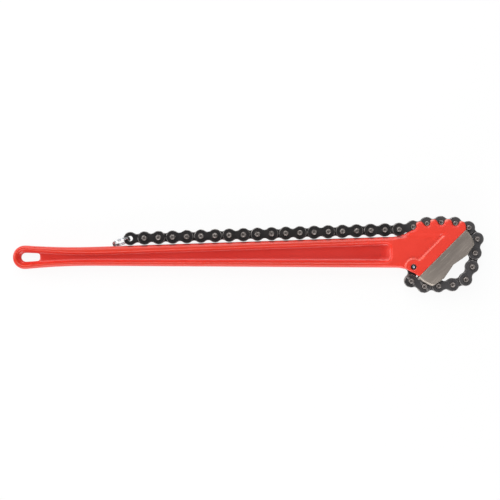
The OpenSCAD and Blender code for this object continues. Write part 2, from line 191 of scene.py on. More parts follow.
makeCamera()
makeLights()
makeWorld()
makeFloor()
scene.view_settings.view_transform = "Standard"
print("camera, light and floor ready")


# values of a noise at which an effect starts and is full
cloudSpread = (0.3, 0.7)
wideSpread = (0.25, 0.75)
patchSpread = (0.35, 0.62)


# steps that the finishes share
def noise(tree, vector, scale, detail, roughness):
    node = addNode(tree, "ShaderNodeTexNoise")
    link(tree, vector, node.inputs["Vector"])
    feed(tree, scale, node.inputs["Scale"])
    node.inputs["Detail"].default_value = detail
    node.inputs["Roughness"].default_value = roughness
    return node.outputs["Fac"]


def mapRange(tree, value, low, high, newLow=0.0, newHigh=1.0):
    node = addNode(tree, "ShaderNodeMapRange", interpolation_type="SMOOTHSTEP")
    link(tree, value, node.inputs["Value"])
    feed(tree, low, node.inputs["From Min"])
    feed(tree, high, node.inputs["From Max"])
    feed(tree, newLow, node.inputs["To Min"])
    feed(tree, newHigh, node.inputs["To Max"])
    return node.outputs["Result"]


def mixColour(tree, factor, first, second):
    node = addNode(tree, "ShaderNodeMix", data_type="RGBA")
    feed(tree, factor, node.inputs[0])
    # the colour sockets of this node are numbers 6 and 7, and its colour comes out at 2
    for socket, colour in ((node.inputs[6], first), (node.inputs[7], second)):
        feed(tree, (*colour, 1) if isinstance(colour, tuple) else colour, socket)
    return node.outputs[2]


def stain(tree, mask, share, under, over):
    # lays a share of the second colour over the first where the mask is
    return mixColour(tree, math2(tree, "MULTIPLY", mask, share), under, over)


def objectCoords(tree):
    return addNode(tree, "ShaderNodeTexCoord").outputs["Object"]


def turnedCoords(tree, coords, place, turn):
    # coordinates of a frame that stands at a place and is turned about the upright
    node = addNode(tree, "ShaderNodeMapping", vector_type="TEXTURE")
    node.inputs["Location"].default_value = place
    node.inputs["Rotation"].default_value = (0, 0, turn)
    link(tree, coords, node.inputs["Vector"])
    return node.outputs[0]


def splitAxes(tree, vector):
    node = addNode(tree, "ShaderNodeSeparateXYZ")
    link(tree, vector, node.inputs[0])
    return node.outputs


def vectorMath(tree, operation, *values):
    node = addNode(tree, "ShaderNodeVectorMath", operation=operation)
    for socket, value in zip(node.inputs, values):
        feed(tree, value, socket)
    return node.outputs


def fromAttribute(tree, name):
    return addNode(tree, "ShaderNodeAttribute", attribute_name=name).outputs["Fac"]


def bump(tree, shader, height, strength, depth):
    node = addNode(tree, "ShaderNodeBump")
    node.inputs["Strength"].default_value = strength
    node.inputs["Distance"].default_value = depth
    link(tree, height, node.inputs["Height"])
    link(tree, node.outputs["Normal"], shader.inputs["Normal"])


# shader groups shared by the finishes
def newGroup(name, inputs, outputs):
    # an input without a value takes a vector
    group = bpy.data.node_groups.new(name, "ShaderNodeTree")
    for label, value in inputs.items():
        kind = "NodeSocketVector" if value is None else "NodeSocketFloat"
        socket = group.interface.new_socket(name=label, in_out="INPUT", socket_type=kind)
        if value is not None:
            socket.default_value = value
    for label in outputs:
        group.interface.new_socket(name=label, in_out="OUTPUT", socket_type="NodeSocketFloat")
    given = group.nodes.new("NodeGroupInput").outputs
    return group, given, group.nodes.new("NodeGroupOutput").inputs


def makeSkinGroup():
    # fine grain and slow clouds of a forged or blackened skin
    group, given, out = newGroup("skinGrain", {"Grain scale": 900.0, "Cloud scale": 60.0}, ["Grain", "Cloud"])
    coords = objectCoords(group)
    link(group, noise(group, coords, given["Grain scale"], detail=3, roughness=0.55), out["Grain"])
    link(group, noise(group, coords, given["Cloud scale"], detail=4, roughness=0.6), out["Cloud"])
    return group


def makeRubGroup():
    # raised edges that hands, pipes and other links have rubbed, paler there partly as a painted highlight
    group, given, out = newGroup("edgeRub", {"Start": 0.52, "Full": 0.6, "Patch scale": 300.0}, ["Rub"])
    raised = addNode(group, "ShaderNodeNewGeometry").outputs["Pointiness"]
    edge = mapRange(group, raised, given["Start"], given["Full"])
    cloud = noise(group, objectCoords(group), given["Patch scale"], detail=4, roughness=0.6)
    patch = mapRange(group, cloud, *patchSpread)
    link(group, math2(group, "MULTIPLY", edge, patch), out["Rub"])
    return group


def makeStreakGroup():
    # long grinding marks along the X of the vector that comes in
    inputs = {"Vector": None, "Across": 900.0, "Along": 25.0}
    group, given, out = newGroup("grindStreaks", inputs, ["Streak", "Band"])
    stretch = addNode(group, "ShaderNodeCombineXYZ")
    link(group, given["Along"], stretch.inputs["X"])
    link(group, given["Across"], stretch.inputs["Y"])
    link(group, given["Across"], stretch.inputs["Z"])
    scaled = vectorMath(group, "MULTIPLY", given["Vector"], stretch.outputs[0])[0]
    fine, broad = 1.0, 0.14
    link(group, noise(group, scaled, fine, detail=5, roughness=0.65), out["Streak"])
    link(group, noise(group, scaled, broad, detail=3, roughness=0.5), out["Band"])
    return group


def makeRoundMarkGroup():
    # 1 within a circle round an upright axis, 0 outside, with a soft border
    inputs = {"Vector": None, "Centre": None, "Inner": 3 * mm, "Outer": 4 * mm}
    group, given, out = newGroup("roundMark", inputs, ["Mark"])
    away = vectorMath(group, "SUBTRACT", given["Vector"], given["Centre"])[0]
    flat = vectorMath(group, "MULTIPLY", away, (1, 1, 0))[0]
    length = vectorMath(group, "LENGTH", flat)["Value"]
    link(group, mapRange(group, length, given["Inner"], given["Outer"], 1.0, 0.0), out["Mark"])
    return group


skinGrain = makeSkinGroup()
edgeRub = makeRubGroup()
grindStreaks = makeStreakGroup()
roundMark = makeRoundMarkGroup()


def placeGroup(tree, group, **values):
    node = addNode(tree, "ShaderNodeGroup", node_tree=group)
    for key, value in values.items():
        feed(tree, value, node.inputs[key])
    return node.outputs


def spotMark(tree, coords, centre, reach):
    inner, outer = reach
    return placeGroup(tree, roundMark, Vector=coords, Centre=tuple(centre), Inner=inner, Outer=outer)["Mark"]


def newFinish(name, look):
    material = bpy.data.materials.new(name)
    material.use_nodes = True
    tree = material.node_tree
    shader = tree.nodes["Principled BSDF"]
    for key, value in look["shader"].items():
        shader.inputs[key].default_value = value
    return material, tree, shader


def cloudTone(tree, skin, dark, light, spread=cloudSpread):
    return mixColour(tree, mapRange(tree, skin["Cloud"], *spread), dark, light)


def steelSkin(tree, shader, look, spread=wideSpread):
    # the grain sets the gloss and the bump of the smaller steel pieces
    skin = placeGroup(tree, skinGrain, **look["skin"])
    link(tree, mapRange(tree, skin["Grain"], *spread, *look["rough"]), shader.inputs["Roughness"])
    bump(tree, shader, skin["Grain"], *look["bump"])
    return skin


# red enamel of the forging
paint = {
    "shader": {"Coat Weight": 0.14, "Coat Roughness": 0.18, "IOR": 1.47},
    "skin": {"Grain scale": 520.0, "Cloud scale": 26.0},
    "wearHighlight": {"Start": 0.515, "Full": 0.60, "Patch scale": 120.0},
    "rough": (0.28, 0.40),
    "bump": (0.05, 0.4 * mm),
    "red": (0.765, 0.040, 0.021),
    "deep": (0.715, 0.036, 0.019),
    "thinCoatHighlight": (0.88, 0.14, 0.08),         # rubbed edges, paler partly as a painted highlight
    "thinCoatHighlightShare": 0.55,
    "wornHighlight": (0.90, 0.30, 0.23),         # hook tips that the chain rubs, and the corner of the step, paler partly as a painted highlight
    "tips": [(3.0, 6.4), (5.6, 6.2), (6.0, 4.6), (5.6, 4.0)],   # millimetres from each hook pin
    "tipReach": (0.5 * mm, 5.2 * mm),
    "tipShare": 0.9,
    "cornerShare": 0.3,
    "grip": (0.58, 0.027, 0.010),       # painted shade: darker along the shank, away from the head
    "gripFade": (-100 * mm, -25 * mm),  # along the handle, from the anchor pin
    "gripShare": 0.9,
    "recess": (0.62, 0.021, 0.012),     # painted shade on the web of the recess
    "recessFade": (4.6 * mm, 9.0 * mm),     # from the middle plane
    "anchorGapShade": (0.035, 0.012, 0.010),     # painted shade in the gap round the anchor pin
    "anchorGapShadeReach": (3.5 * mm, 4.4 * mm),
    "tailShadowTone": (0.15, 0.010, 0.008),      # painted shadow where the lobes of the tail lie on the handle
    "tailShadowShare": 0.85,
    "tailPins": (16, 32),               # the chain is straight between these
    "tailShadowBeside": (2.0 * mm, 5.5 * mm),
    "tailShadowBelow": (-13.0 * mm, -9.8 * mm),
    "tailShadowStart": (2.0, 2.5),           # in links from the first of the tail pins
    "tailShadowStop": (-17.5, -17.0),
}


def paintedTailShadow(tree, coords):
    # painted shadow: dark spots on the upper edge of the shank, one under each pin of the tail
    start, stop = paint["tailPins"]
    first, last = pinPlaces[start], pinPlaces[stop]
    pitch = (first - last).length / (stop - start)
    heading = math.atan2(first.y - last.y, first.x - last.x)
    axes = splitAxes(tree, turnedCoords(tree, coords, first, heading))
    beside = math2(tree, "PINGPONG", axes["X"], pitch / 2)
    spot = math2(tree, "MULTIPLY", mapRange(tree, beside, *paint["tailShadowBeside"], 1.0, 0.0),
                 mapRange(tree, axes["Y"], *paint["tailShadowBelow"]))
    startLow, startHigh = [links * pitch for links in paint["tailShadowStart"]]
    stopLow, stopHigh = [links * pitch for links in paint["tailShadowStop"]]
    reach = math2(tree, "MULTIPLY", mapRange(tree, axes["X"], startLow, startHigh, 1.0, 0.0),
                  mapRange(tree, axes["X"], stopLow, stopHigh))
    return math2(tree, "MULTIPLY", spot, reach)


def makePaint():
    material, tree, shader = newFinish("handlePaint", paint)
    skin = placeGroup(tree, skinGrain, **paint["skin"])
    wearHighlight = placeGroup(tree, edgeRub, **paint["wearHighlight"])
    coords = objectCoords(tree)
    axes = splitAxes(tree, coords)
    tone = cloudTone(tree, skin, paint["deep"], paint["red"])
    # painted shade: the shank darker away from the head, where less light falls
    gripLow, gripHigh = [anchor.x + shift for shift in paint["gripFade"]]
    shankShaded = mapRange(tree, axes["X"], gripLow, gripHigh, paint["gripShare"], 0.0)
    tone = mixColour(tree, shankShaded, tone, paint["grip"])
    # painted shade on the web of the recess, darker towards the middle plane
    depth = math2(tree, "ABSOLUTE", math2(tree, "SUBTRACT", axes["Z"], midPlane), 0.0)
    webShade = mapRange(tree, depth, *paint["recessFade"], 1.0, 0.0)
    tone = mixColour(tree, webShade, tone, paint["recess"])
    # rubbed edges, paler partly as a painted highlight
    tone = stain(tree, wearHighlight["Rub"], paint["thinCoatHighlightShare"], tone, paint["thinCoatHighlight"])
    # worn hook tips, paler partly as a painted highlight
    for pin, (ahead, above) in zip(hookPins, paint["tips"]):
        tip = pinPlaces[pin] + Vector((ahead * mm, above * mm, 0))
        mark = spotMark(tree, coords, tip, paint["tipReach"])
        tone = stain(tree, mark, paint["tipShare"], tone, paint["wornHighlight"])
    # thin paint on the step's upper corner, paler there partly as a painted highlight
    tone = stain(tree, fromAttribute(tree, "stepCornerHighlight"), paint["cornerShare"], tone, paint["wornHighlight"])
    # painted shadow of the tail's lobes on the upper edge of the shank
    tone = stain(tree, paintedTailShadow(tree, coords), paint["tailShadowShare"], tone, paint["tailShadowTone"])
    # painted shade in the gap round the anchor pin
    tone = mixColour(tree, spotMark(tree, coords, anchor, paint["anchorGapShadeReach"]), tone, paint["anchorGapShade"])
    link(tree, tone, shader.inputs["Base Color"])
    link(tree, mapRange(tree, skin["Cloud"], *wideSpread, *paint["rough"]), shader.inputs["Roughness"])
    bump(tree, shader, skin["Grain"], *paint["bump"])
    return material


# ground steel of the jaw: marks along the seat, painted highlight on the bevels round both ends
jawLook = {
    "shader": {"Metallic": 0.4},
    "marks": {"Across": 620.0, "Along": 42.0},
    "wearHighlight": {"Start": 0.51, "Full": 0.56, "Patch scale": 240.0},
    "rough": (0.36, 0.58),
    "bump": (0.18, 0.3 * mm),
    "grey": (0.240, 0.206, 0.182),
    "dark": (0.195, 0.167, 0.147),
    "pale": (0.37, 0.325, 0.28),
    "bandSpread": (0.36, 0.62),
    "streakSpread": (0.52, 0.8),
    "roughSpread": (0.2, 0.8),
    "lowEnd": (-8 * mm, -45 * mm),      # paler towards the end by the anchor pin
    "lowShare": 0.4,
    "endCentre": (4.0 * mm, -1.3 * mm, 0),  # of the round ends, in the jaw's own frame
    "bevelReach": (38.2 * mm, 39.4 * mm),
    "bevelHighlightShare": 0.8,
}


def makeJawSteel():
    material, tree, shader = newFinish("jawSteel", jawLook)
    place = anchor + Vector((*seat["middle"], 0))
    along = turnedCoords(tree, objectCoords(tree), place, seat["turn"])
    marks = placeGroup(tree, grindStreaks, Vector=along, **jawLook["marks"])
    wearHighlight = placeGroup(tree, edgeRub, **jawLook["wearHighlight"])
    axes = splitAxes(tree, along)
    half = addNode(tree, "ShaderNodeCombineXYZ")
    link(tree, math2(tree, "ABSOLUTE", axes["X"], 0.0), half.inputs["X"])
    link(tree, axes["Y"], half.inputs["Y"])
    # painted highlight on the bevels round both ends
    inside = spotMark(tree, half.outputs[0], jawLook["endCentre"], jawLook["bevelReach"])
    bevelHighlight = math2(tree, "SUBTRACT", 1.0, inside)
    pale = jawLook["pale"]
    bands = mapRange(tree, marks["Band"], *jawLook["bandSpread"])
    tone = mixColour(tree, bands, jawLook["dark"], jawLook["grey"])
    streaks = mapRange(tree, marks["Streak"], *jawLook["streakSpread"])
    tone = mixColour(tree, streaks, tone, pale)
    lowEnd = mapRange(tree, axes["X"], *jawLook["lowEnd"], 0.0, jawLook["lowShare"])
    tone = mixColour(tree, lowEnd, tone, pale)
    tone = stain(tree, bevelHighlight, jawLook["bevelHighlightShare"], tone, pale)
    # rubbed edges of the jaw, paler partly as a painted highlight
    tone = mixColour(tree, wearHighlight["Rub"], tone, pale)
    link(tree, tone, shader.inputs["Base Color"])
    rough = mapRange(tree, marks["Streak"], *jawLook["roughSpread"], *jawLook["rough"])
    link(tree, rough, shader.inputs["Roughness"])
    bump(tree, shader, marks["Streak"], *jawLook["bump"])
    return material


# blackened plates of the chain
plateLook = {
    "shader": {"Metallic": 0.55},
    "skin": {"Grain scale": 1500.0, "Cloud scale": 140.0},
    "wearHighlight": {"Start": 0.505, "Full": 0.55, "Patch scale": 260.0},
    "rough": (0.34, 0.52),
    "bump": (0.16, 0.2 * mm),
    "black": (0.012, 0.0115, 0.012),
    "soot": (0.026, 0.023, 0.023),
    "lightNearJaw": (0.085, 0.081, 0.084),    # painted light: links lighter towards the jaw
    "lightNearJawFade": (-30 * mm, 25 * mm),  # along the handle, from the anchor pin
    "bareEdgeHighlight": (0.34, 0.32, 0.31),         # worn edges, paler partly as a painted highlight
    "bareEdgeHighlightShare": 0.85,
}


def makePlateBlack():
    material, tree, shader = newFinish("chainPlate", plateLook)
    skin = steelSkin(tree, shader, plateLook)
    wearHighlight = placeGroup(tree, edgeRub, **plateLook["wearHighlight"])
    tone = cloudTone(tree, skin, plateLook["black"], plateLook["soot"])
    # painted light: the links lighter towards the jaw
    low, high = [anchor.x + shift for shift in plateLook["lightNearJawFade"]]
    nearJaw = mapRange(tree, splitAxes(tree, objectCoords(tree))["X"], low, high)
    tone = mixColour(tree, nearJaw, tone, plateLook["lightNearJaw"])
    # worn edges, paler partly as a painted highlight
    tone = stain(tree, wearHighlight["Rub"], plateLook["bareEdgeHighlightShare"], tone, plateLook["bareEdgeHighlight"])
    link(tree, tone, shader.inputs["Base Color"])
    return material


# turned pins of the chain: dark dimple, bright staked ring that is partly a painted highlight, duller rim
pinLook = {
    "shader": {"Metallic": 0.6},
    "skin": {"Grain scale": 1800.0, "Cloud scale": 320.0},
    "rough": (0.28, 0.46),
    "bump": (0.2, 0.2 * mm),
    "dark": (0.060, 0.050, 0.046),
    "grey": (0.17, 0.148, 0.138),
    "paintedHighlight": (0.36, 0.325, 0.305),
    "toneSpread": (0.32, 0.66),
    "ringSpread": (0.25, 0.7),
    "ringStart": (1.7 * mm, 2.1 * mm),  # from the axis of the pin
    "ringStop": (2.9 * mm, 3.3 * mm),
    "rimShare": 0.3,
    "dimple": (1.2 * mm, 1.7 * mm),
    "dimpleShare": 0.6,
}


def makePinSteel():
    material, tree, shader = newFinish("chainPin", pinLook)
    skin = steelSkin(tree, shader, pinLook)
    radius = fromAttribute(tree, "fromAxis")
    tone = cloudTone(tree, skin, pinLook["dark"], pinLook["grey"], pinLook["toneSpread"])
    # bright staked ring, partly a painted highlight
    ring = math2(tree, "MULTIPLY", mapRange(tree, radius, *pinLook["ringStart"]),
                 mapRange(tree, radius, *pinLook["ringStop"], 1.0, pinLook["rimShare"]))
    patch = mapRange(tree, skin["Cloud"], *pinLook["ringSpread"])
    tone = mixColour(tree, math2(tree, "MULTIPLY", ring, patch), tone, pinLook["paintedHighlight"])
    dimple = mapRange(tree, radius, *pinLook["dimple"], pinLook["dimpleShare"], 0.0)
    tone = mixColour(tree, dimple, tone, pinLook["dark"])
    link(tree, tone, shader.inputs["Base Color"])
    return material


# anchor pin: blackened rim round a bright middle that is a painted highlight
anchorLook = {
    "shader": {"Metallic": 0.7},
    "skin": {"Grain scale": 1600.0, "Cloud scale": 380.0},
    "rough": (0.24, 0.4),
    "bump": (0.15, 0.2 * mm),
    "dark": (0.022, 0.023, 0.027),
    "light": (0.05, 0.052, 0.06),
    "paintedHighlight": (0.40, 0.46, 0.52),
    "brightReach": (1.2 * mm, 1.9 * mm),
}


def makeAnchorSteel():
    material, tree, shader = newFinish("anchorSteel", anchorLook)
    skin = steelSkin(tree, shader, anchorLook)
    tone = cloudTone(tree, skin, anchorLook["dark"], anchorLook["light"])
    # painted highlight in the middle of the pin's end
    middle = mapRange(tree, fromAttribute(tree, "fromAxis"), *anchorLook["brightReach"], 1.0, 0.0)
    tone = mixColour(tree, middle, tone, anchorLook["paintedHighlight"])
    link(tree, tone, shader.inputs["Base Color"])
    return material


# black screws that hold the jaw
screwLook = {
    "shader": {"Metallic": 0.7},
    "skin": {"Grain scale": 1400.0, "Cloud scale": 220.0},
    "rough": (0.32, 0.5),
    "bump": (0.15, 0.2 * mm),
    "dark": (0.02, 0.02, 0.022),
    "light": (0.06, 0.06, 0.065),
}


def makeScrewBlack():
    material, tree, shader = newFinish("screwSteel", screwLook)
    skin = steelSkin(tree, shader, screwLook)
    link(tree, cloudTone(tree, skin, screwLook["dark"], screwLook["light"]), shader.inputs["Base Color"])
    return material


# chrome of the split ring, with painted shade down the sides of the wire
ringLook = {
    "shader": {"Metallic": 1.0},
    "skin": {"Grain scale": 2200.0, "Cloud scale": 260.0},
    "rough": (0.10, 0.24),
    "bump": (0.06, 0.1 * mm),
    "dark": (0.40, 0.41, 0.43),
    "light": (0.66, 0.67, 0.69),
    "sideShade": (0.05, 0.05, 0.055),
    "sideShadeSpread": (0.35, 0.8),
    "grainSpread": (0.2, 0.8),
}


def makeRingChrome():
    material, tree, shader = newFinish("ringChrome", ringLook)
    skin = steelSkin(tree, shader, ringLook, ringLook["grainSpread"])
    tone = cloudTone(tree, skin, ringLook["dark"], ringLook["light"])
    # painted shade down the sides of the wire
    sides = mapRange(tree, fromAttribute(tree, "sideways"), *ringLook["sideShadeSpread"])
    tone = mixColour(tree, sides, tone, ringLook["sideShade"])
    link(tree, tone, shader.inputs["Base Color"])
    return material


finishes = {
    "handle_paint": makePaint(),
    "jaw_steel": makeJawSteel(),
    "screw_steel": makeScrewBlack(),
    "anchor_steel": makeAnchorSteel(),
    "chain_plate": makePlateBlack(),
    "chain_pin": makePinSteel(),
    "ring_chrome": makeRingChrome(),
}
print("finishes ready", len(finishes))


# forged and ground pieces: a close remesh of the solid, with its sharp edges eased
def addObject(name, mesh):
    piece = bpy.data.objects.new(name, mesh)
    scene.collection.objects.link(piece)
    return piece


def meshFromCad(nodeName):
    mesh = nodes[nodeName].data.copy()
    body = bmesh.new()
    body.from_mesh(mesh)
    bmesh.ops.remove_doubles(body, verts=body.verts, dist=1e-6)
    body.to_mesh(mesh)
    body.free()
    mesh.materials.clear()
    return mesh


def evaluated(obj):
    bpy.context.view_layer.update()
    depsgraph = bpy.context.evaluated_depsgraph_get()
    mesh = bpy.data.meshes.new_from_object(obj.evaluated_get(depsgraph), depsgraph=depsgraph)
    obj.modifiers.clear()
    obj.data = mesh
    return mesh


def meshPoints(mesh):
    points = np.empty(len(mesh.vertices) * 3)
    mesh.vertices.foreach_get("co", points)
    return points.reshape(-1, 3)


def setAttribute(mesh, name, values):
    mesh.attributes.new(name, "FLOAT", "POINT").data.foreach_set("value", values)


def triangleCount(mesh):
    return len(mesh.loops) - 2 * len(mesh.polygons)


def easePoints(mesh, rounds, weight=None, step=0.5):
    # moves every vertex towards the middle of its neighbours, a few times
    count = len(mesh.vertices)
    points = meshPoints(mesh)
    edges = np.empty(len(mesh.edges) * 2, np.int64)
    mesh.edges.foreach_get("vertices", edges)
    first, second = edges.reshape(-1, 2).T
    degree = np.bincount(np.concatenate([first, second]), minlength=count)
    share = step if weight is None else step * weight(points)[:, None]
    for _ in range(rounds):
        total = np.empty_like(points)
        for axis in range(3):
            column = points[:, axis]
            total[:, axis] = np.bincount(first, column[second], count)
            total[:, axis] += np.bincount(second, column[first], count)
        points = points + share * (total / degree[:, None] - points)
    mesh.vertices.foreach_set("co", points.ravel())
    mesh.update()


def easedPiece(name, nodeName, voxel, rounds, blends=(), last=None):
    piece = addObject(name, meshFromCad(nodeName))
    remesh = piece.modifiers.new("remesh", "REMESH")
    remesh.mode = "VOXEL"
    remesh.voxel_size = voxel
    mesh = evaluated(piece)
    easePoints(mesh, rounds)
    for blendRounds, weight in blends:
        easePoints(mesh, blendRounds, weight)
    if last:
        last(mesh)
    mesh.shade_smooth()
    return piece


def settle(piece, body, slotName, *replaced):
    piece.data.materials.clear()
    piece.data.materials.append(finishes[slotName])
    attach(piece, body)
    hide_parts(*replaced)


# forging lines on the head, seen from above and measured from the anchor pin
forging = {
    "voxel": 1.0 * mm,
    "rounds": 2,
    "stripWidth": 14.4 * mm,
    "stripSpan": (-34 * mm, 20 * mm),   # along the seat, from the boss to the hook band
    "bossRadius": 10.2 * mm,
    "raised": 10.0 * mm,                # what lies further than this from the middle plane is side face
    "panelHalf": 11.5 * mm,
    "cheekHalf": 13.5 * mm,
    "stepRun": 2.0 * mm,                # width of the rounded step between the two
    "stepFillet": 2.5 * mm,             # where the boss runs into the strip
    # lower edge of the hook band: a pin, and millimetres from it
    "bandUnder": [(13, -12, -8.6), (12, 0, -14.2), (11, 5.6, -16.4), (11, 8, -20)],
}

# each pair says where an easing is full and where it ends, the rounds how often it is done
easing = {
    "shank": (-75 * mm, -45 * mm),      # along the handle
    "shankRounds": 8,
    "step": (1.6 * mm, 3.2 * mm),
    "stepRounds": 10,
    "band": (4 * mm, 9 * mm),
    "bandOffStrip": (3 * mm, 5 * mm),   # the strip itself is left alone
    "bandRounds": 38,
    "hooks": (7 * mm, 11 * mm),
    "hookRounds": 8,
    "stripEnd": (3 * mm, 7 * mm),
    "stripEndRounds": 30,
    "profile": (2.6 * mm, 4.2 * mm),    # points that are laid on the profile of the step
    "profileUp": (17 * mm, 21 * mm),    # along the seat
    "profileDown": (3 * mm, 6 * mm),    # below the anchor pin
    "profileRounds": 2,
    "corner": (0.5 * mm, 1.3 * mm),     # thin paint and a painted highlight on the upper corner of the step
    "cornerAt": 0.7 * mm,
}


def fade(distance, full, none):
    # 1 up to one distance, 0 from another, smooth between
    share = np.clip((none - distance) / (none - full), 0, 1)
    return share * share * (3 - 2 * share)


def fromSegment(flat, first, last):
    along = last - first
    share = np.clip(((flat - first) @ along) / (along @ along), 0, 1)
    return np.linalg.norm(flat - first - share[:, None] * along, axis=1)


def fromLine(flat, corners):
    return np.min([fromSegment(flat, first, last) for first, last in zip(corners, corners[1:])], axis=0)


def sideFace(points):
    return np.abs(points[:, 2] - midPlane) > forging["raised"]


def flatFromAnchor(points):
    return points[:, :2] - np.array(anchor[:2])


def besidePin(pin, ahead=0, above=0):
    # a pin of the chain, or a place some millimetres from it
    place = pinPlaces[pin] - anchor
    return np.array([place.x + ahead * mm, place.y + above * mm])


def seatAxes():
    # along the seat, and out of the head through the jaw
    turn = seat["turn"]
    along = np.array([math.cos(turn), math.sin(turn)])
    return along, np.array([along[1], -along[0]])


def stripEnds():
    along, out = seatAxes()
    foot = np.array(seat["middle"]) - forging["stripWidth"] * out
    low, high = forging["stripSpan"]
    return foot + low * along, foot + high * along


def fromStrip(flat):
    return fromSegment(flat, *stripEnds())


def stripEndWeight(points):
    # the step dies away into the hook band
    away = np.linalg.norm(flatFromAnchor(points) - stripEnds()[1], axis=1)
    return fade(away, *easing["stripEnd"]) * sideFace(points)


def stepWeight(points):
    # raised strip along the jaw and boss round the anchor pin
    flat = flatFromAnchor(points)
    boss = np.abs(np.linalg.norm(flat, axis=1) - forging["bossRadius"])
    return fade(np.minimum(fromStrip(flat), boss), *easing["step"]) * sideFace(points)


def outOfStep(flat):
    # how far a point lies outside strip and boss, and how far along the strip
    along, out = seatAxes()
    fromSeat = flat - np.array(seat["middle"])
    strip = -(fromSeat @ out) - forging["stripWidth"]
    boss = np.linalg.norm(flat, axis=1) - forging["bossRadius"]
    soft = forging["stepFillet"]
    share = np.clip(0.5 + 0.5 * (strip - boss) / soft, 0, 1)
    return strip + (boss - strip) * share - soft * share * (1 - share), fromSeat @ along


def stepShare(points):
    # 1 on the band that the step takes up, 0 well away from it and below the boss
    flat = flatFromAnchor(points)
    outside, along = outOfStep(flat)
    near = fade(np.abs(outside - forging["stepRun"] / 2), *easing["profile"])
    ends = fade(along, *easing["profileUp"]) * fade(-flat[:, 1], *easing["profileDown"])
    return near * ends * sideFace(points)


def crispStep(mesh):
    # finer faces along the step, then every point there is laid on one rounded profile
    chosen = stepShare(meshPoints(mesh)) > 0
    body = bmesh.new()
    body.from_mesh(mesh)
    edges = [edge for edge in body.edges if all(chosen[corner.index] for corner in edge.verts)]
    bmesh.ops.subdivide_edges(body, edges=edges, cuts=1, use_grid_fill=True)
    body.to_mesh(mesh)
    body.free()
    points = meshPoints(mesh)
    outside = outOfStep(flatFromAnchor(points))[0]
    rise = fade(outside, 0, forging["stepRun"])
    height = forging["panelHalf"] + (forging["cheekHalf"] - forging["panelHalf"]) * rise
    side = np.sign(points[:, 2] - midPlane)
    points[:, 2] += stepShare(points) * (midPlane + side * height - points[:, 2])
    mesh.vertices.foreach_set("co", points.ravel())
    mesh.update()
    easePoints(mesh, easing["profileRounds"], stepShare)
    easePoints(mesh, easing["stripEndRounds"], stripEndWeight)
    # paint is thin on the upper corner of the step, which is paler there partly as a painted highlight
    points = meshPoints(mesh)
    outside = outOfStep(flatFromAnchor(points))[0]
    thinCoatHighlight = fade(np.abs(outside - easing["cornerAt"]), *easing["corner"]) * stepShare(points)
    setAttribute(mesh, "stepCornerHighlight", thinCoatHighlight)


def bandWeight(points):
    # the hook band runs softly into the panel below it
    flat = flatFromAnchor(points)
    near = fromLine(flat, [besidePin(*corner) for corner in forging["bandUnder"]])
    offStrip = 1 - fade(fromStrip(flat), *easing["bandOffStrip"])
    return fade(near, *easing["band"]) * offStrip * sideFace(points)


def shankWeight(points):
    # soft forged edges all along the shank and the butt
    return fade(flatFromAnchor(points)[:, 0], *easing["shank"])


def hookWeight(points):
    # worn corners of the hooks above the band
    near = fromLine(flatFromAnchor(points), [besidePin(pin) for pin in hookPins])
    return fade(near, *easing["hooks"])


blends = [
    (easing["shankRounds"], shankWeight),
    (easing["stepRounds"], stepWeight),
    (easing["bandRounds"], bandWeight),
    (easing["hookRounds"], hookWeight),
]
handlePiece = easedPiece("handleForging", "handle", forging["voxel"], forging["rounds"], blends, crispStep)
settle(handlePiece, "handle", "handle_paint", "handle")
print("handle", triangleCount(handlePiece.data), "triangles")

jawCut = {"voxel": 0.41 * mm, "rounds": 2}
jawPiece = easedPiece("jawBlock", "jaw", jawCut["voxel"], jawCut["rounds"])
settle(jawPiece, "handle", "jaw_steel", "jaw")
print("jaw", triangleCount(jawPiece.data), "triangles")

# turned pins: rings of a profile round the hinge axis
pinShape = {
    "half": 12.3 * mm,
    "steps": 36,
    "anchorHalf": 12.8 * mm,
    "anchorSteps": 40,
    # radius, and height from the end face: round shoulder, staked ring, dimple, all in millimetres
    "end": [
        (3.3, -2.0), (3.3, -0.85), (3.26, -0.6), (3.1, -0.3), (2.85, -0.09), (2.6, 0),
        (2.45, 0), (2.3, -0.03), (2.12, -0.16), (1.95, -0.03), (1.8, 0),
        (1.55, 0), (1.38, -0.06), (1.1, -0.45), (0.7, -0.78), (0.3, -0.92), (0, -0.95),
    ],
}


def pinProfile(half):
    top = [(radius * mm, half + height * mm) for radius, height in pinShape["end"]]
    bottom = [(radius, -height) for radius, height in reversed(top)]
    return bottom + top


def arcPoints(centre, radius, first, last, steps):
    turns = [first + (last - first) * i / steps for i in range(steps)]
    return [(centre[0] + radius * math.cos(a), centre[1] + radius * math.sin(a)) for a in turns]


def finishedMesh(name, body):
    bmesh.ops.recalc_face_normals(body, faces=body.faces)
    mesh = bpy.data.meshes.new(name)
    body.to_mesh(mesh)
    body.free()
    mesh.shade_smooth()
    return mesh


def turnedMesh(name, profile, steps):
    body = bmesh.new()
    rings = []
    for radius, height in profile:
        if radius == 0:
            rings.append([body.verts.new((0, 0, height))])
            continue
        circle = arcPoints((0, 0), radius, 0, 2 * math.pi, steps)
        rings.append([body.verts.new((x, y, height)) for x, y in circle])
    for low, high in zip(rings, rings[1:]):
        for i in range(steps):
            j = (i + 1) % steps
            quad = [low[i % len(low)], low[j % len(low)], high[j % len(high)], high[i % len(high)]]
            corners = list(dict.fromkeys(quad))
            if len(corners) > 2:
                body.faces.new(corners)
    mesh = finishedMesh(name, body)
    setAttribute(mesh, "fromAxis", [math.hypot(point.co.x, point.co.y) for point in mesh.vertices])
    return mesh


